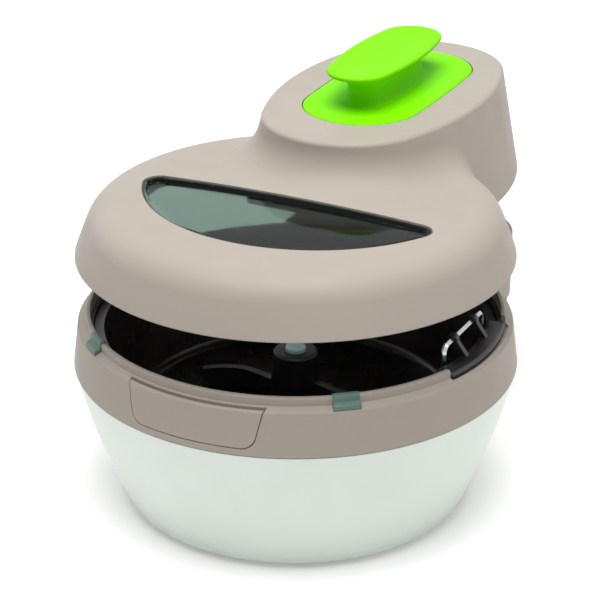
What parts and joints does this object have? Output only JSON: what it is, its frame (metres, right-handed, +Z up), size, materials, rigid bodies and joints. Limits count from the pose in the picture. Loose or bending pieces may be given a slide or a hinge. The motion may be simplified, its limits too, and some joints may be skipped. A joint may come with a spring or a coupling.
{
  "type": "deep fryer",
  "caption": "Hot-air deep fryer: tapered round bowl, collar, lift-up lid with a window and a rear hood, removable stirred pan and a lift-out filter cover.",
  "frame": {"origin": "on the floor under the middle of the fryer's length and width", "axes": "+Z up, -Y to the front with the push panel, +Y to the rear tower, +X to the side of the pan handle"},
  "size_m": [0.3, 0.41, 0.2738],
  "materials": {
    "mint_plastic": "satin",
    "taupe_plastic": "satin",
    "lime_plastic": "gloss",
    "pad_rubber": "matte",
    "black_rubber": "matte",
    "smoked_pane": "gloss",
    "pan_coating": "satin",
    "black_plastic": "satin",
    "handle_chrome": "polished",
    "steel": "satin",
    "bronze_bush": "satin",
    "duct_metal": "satin",
    "board_green": "satin",
    "button_blue": "gloss",
    "filter_foam": "matte"
  },
  "bodies": {
    "base": {"base_bowl": "mint_plastic", "base_plate": "black_plastic", "rubber_feet": "black_rubber", "plate_screws": "steel", "collar_ring": "taupe_plastic", "panel_spring": "steel", "rim_pad_left": "pad_rubber", "rim_pad_right": "pad_rubber", "rear_housing": "mint_plastic", "vent_band": "black_plastic", "tower_collar": "taupe_plastic", "column_guide": "black_plastic", "pan_well": "black_plastic", "gear_motor": "steel", "shaft_bush": "bronze_bush", "board_posts": "black_plastic", "control_board": "board_green", "switch_frame": "black_plastic", "cord_gland": "black_rubber"},
    "front_panel": {"release_panel": "taupe_plastic"},
    "drive": {"drive_shaft": "steel"},
    "removable_pan": {"pan": "pan_coating", "handle_wire": "handle_chrome"},
    "paddle": {"stirring_paddle": "black_plastic"},
    "paddle_catch": {"paddle_button": "button_blue"},
    "pan_handle": {"handle_grip": "black_plastic"},
    "rocker": {"power_rocker": "black_plastic"},
    "column": {"lift_column": "taupe_plastic", "hinge_pin": "steel"},
    "lid": {"lid_shell": "taupe_plastic", "lid_window": "smoked_pane", "window_gasket": "black_rubber", "lid_seal": "black_rubber", "duct_plate": "duct_metal", "heater_coil": "steel", "fan_motor": "steel", "filter_tray": "black_plastic", "hinge_ribs": "black_plastic"},
    "fan": {"fan_wheel": "black_plastic"},
    "filter": {"filter_pad": "filter_foam", "filter_cover": "lime_plastic", "filter_grip": "lime_plastic"}
  },
  "joints": [
    {"name": "lid_lift", "type": "slide", "parent": "base", "child": "column", "axis": [0, 0, 1], "range_m": [-0.044, 0]},
    {"name": "lid_tilt", "type": "hinge", "parent": "column", "child": "lid", "pos_m": [0, 0.139, 0.1858], "axis": [-1, 0, 0], "range_deg": [0, 35]},
    {"name": "filter_lift", "type": "slide", "parent": "lid", "child": "filter", "axis": [0, 0, 1], "range_m": [0, 0.05]},
    {"name": "fan_spin", "type": "hinge", "parent": "lid", "child": "fan", "pos_m": [0, 0.053, 0.2068], "axis": [0, 0, 1], "continuous": true},
    {"name": "panel_press", "type": "slide", "parent": "base", "child": "front_panel", "axis": [0, 1, 0], "range_m": [0, 0.001], "stiffness_N_per_m": 1500},
    {"name": "pan_lift", "type": "slide", "parent": "base", "child": "removable_pan", "axis": [0, 0, 1], "range_m": [0, 0.03]},
    {"name": "handle_swing", "type": "hinge", "parent": "removable_pan", "child": "pan_handle", "pos_m": [0.122, -0.055, 0.1435], "axis": [0, -1, 0], "range_deg": [0, 95]},
    {"name": "paddle_spin", "type": "hinge", "parent": "removable_pan", "child": "paddle", "pos_m": [0, -0.055, 0.08], "axis": [0, 0, 1], "continuous": true},
    {"name": "drive_spin", "type": "hinge", "parent": "base", "child": "drive", "pos_m": [0, -0.055, 0.06], "axis": [0, 0, 1], "continuous": true},
    {"name": "paddle_press", "type": "slide", "parent": "paddle", "child": "paddle_catch", "axis": [0, 0, -1], "range_m": [0, 0.003], "stiffness_N_per_m": 300},
    {"name": "switch_rock", "type": "hinge", "parent": "base", "child": "rocker", "pos_m": [-0.04, 0.167, 0.045], "axis": [0, 0, 1], "range_deg": [-8, 8]}
  ],
  "couplings": [
    {"joint": "drive_spin", "follows": "paddle_spin", "ratio": 1}
  ]
}
